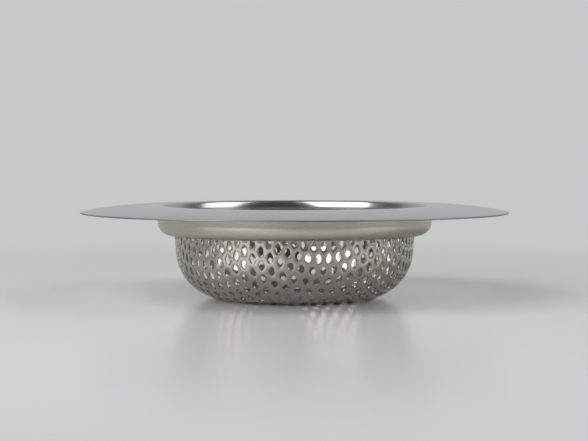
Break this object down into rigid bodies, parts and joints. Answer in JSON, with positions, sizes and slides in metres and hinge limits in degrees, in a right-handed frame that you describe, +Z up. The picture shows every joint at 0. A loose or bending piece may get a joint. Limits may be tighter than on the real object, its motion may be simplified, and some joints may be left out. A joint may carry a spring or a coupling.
{
  "type": "sink strainer",
  "caption": "Wide-brimmed sink strainer: domed rim with a polished well, plain collar ring, and a drawn basket of punched sheet.",
  "frame": {"origin": "middle of the underside of the basket's floor, on the surface that the strainer stands on", "axes": "+Z up along the axis of the rim, collar and basket; X and Y lie in the standing surface, with the pictured side towards -Y"},
  "size_m": [0.1142, 0.1142, 0.025],
  "materials": {
    "polished_steel": "polished",
    "satin_steel": "satin",
    "punched_steel": "satin"
  },
  "bodies": {
    "root": {"rim": "polished_steel", "collar_ring": "satin_steel", "perforated_basket": "punched_steel"}
  },
  "joints": []
}
